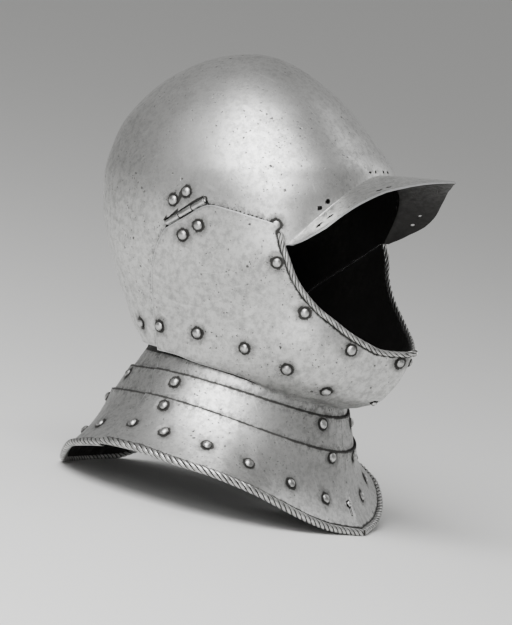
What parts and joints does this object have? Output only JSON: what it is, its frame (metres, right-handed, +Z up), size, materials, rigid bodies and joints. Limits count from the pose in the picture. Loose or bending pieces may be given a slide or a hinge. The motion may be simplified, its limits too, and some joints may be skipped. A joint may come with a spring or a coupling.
{
  "type": "close burgonet helmet",
  "caption": "Steel close burgonet with a fixed peak over the open face, hinged cheek-pieces that meet at a pointed chin, and a laminated flared gorget with a roped rim.",
  "frame": {"origin": "on the surface it stands on, under the middle of its length and width", "axes": "+Z up as it stands on the front point and rear edge of the gorget's rim, the peak towards -Y, the wearer's right side on -X"},
  "size_m": [0.2528, 0.262, 0.3175],
  "materials": {
    "skull_steel": "aged satin",
    "cheek_steel": "aged satin",
    "lame_steel": "aged satin",
    "gorget_steel": "aged satin",
    "hinge_steel": "darker satin",
    "rivet_steel": "rubbed bright"
  },
  "bodies": {
    "skull": {"skull": "skull_steel", "neck_lame_1_rear": "lame_steel", "neck_lame_2_rear": "lame_steel", "gorget_rear": "gorget_steel", "hinge_leaf_skull_right": "hinge_steel", "hinge_leaf_skull_left": "hinge_steel", "hinge_rivet_1_right": "rivet_steel", "hinge_rivet_1_left": "rivet_steel", "hinge_rivet_2_right": "rivet_steel", "hinge_rivet_2_left": "rivet_steel", "nape_rivet_right": "rivet_steel", "nape_rivet_left": "rivet_steel"},
    "right_cheek": {"cheek_right": "cheek_steel", "neck_lame_1_right": "lame_steel", "neck_lame_2_right": "lame_steel", "gorget_right": "gorget_steel", "hinge_leaf_cheek_right": "hinge_steel", "hinge_rivet_3_right": "rivet_steel", "hinge_rivet_4_right": "rivet_steel", "face_rivet_1_right": "rivet_steel", "face_rivet_2_right": "rivet_steel", "face_rivet_3_right": "rivet_steel", "face_rivet_4_right": "rivet_steel", "neck_rivet_1_right": "rivet_steel", "neck_rivet_2_right": "rivet_steel", "neck_rivet_3_right": "rivet_steel", "neck_rivet_4_right": "rivet_steel", "neck_rivet_5_right": "rivet_steel"},
    "left_cheek": {"cheek_left": "cheek_steel", "neck_lame_1_left": "lame_steel", "neck_lame_2_left": "lame_steel", "gorget_left": "gorget_steel", "hinge_leaf_cheek_left": "hinge_steel", "hinge_rivet_3_left": "rivet_steel", "hinge_rivet_4_left": "rivet_steel", "face_rivet_1_left": "rivet_steel", "face_rivet_2_left": "rivet_steel", "face_rivet_3_left": "rivet_steel", "face_rivet_4_left": "rivet_steel", "neck_rivet_1_left": "rivet_steel", "neck_rivet_2_left": "rivet_steel", "neck_rivet_3_left": "rivet_steel", "neck_rivet_4_left": "rivet_steel", "neck_rivet_5_left": "rivet_steel"}
  },
  "joints": [
    {"name": "right_cheek_hinge", "type": "hinge", "parent": "skull", "child": "right_cheek", "pos_m": [-0.09481, 0.02721, 0.20459], "axis": [0.0446, 0.7652, -0.6423], "range_deg": [0, 95]},
    {"name": "left_cheek_hinge", "type": "hinge", "parent": "skull", "child": "left_cheek", "pos_m": [0.09481, 0.02721, 0.20459], "axis": [0.0446, -0.7652, 0.6423], "range_deg": [0, 95]}
  ]
}
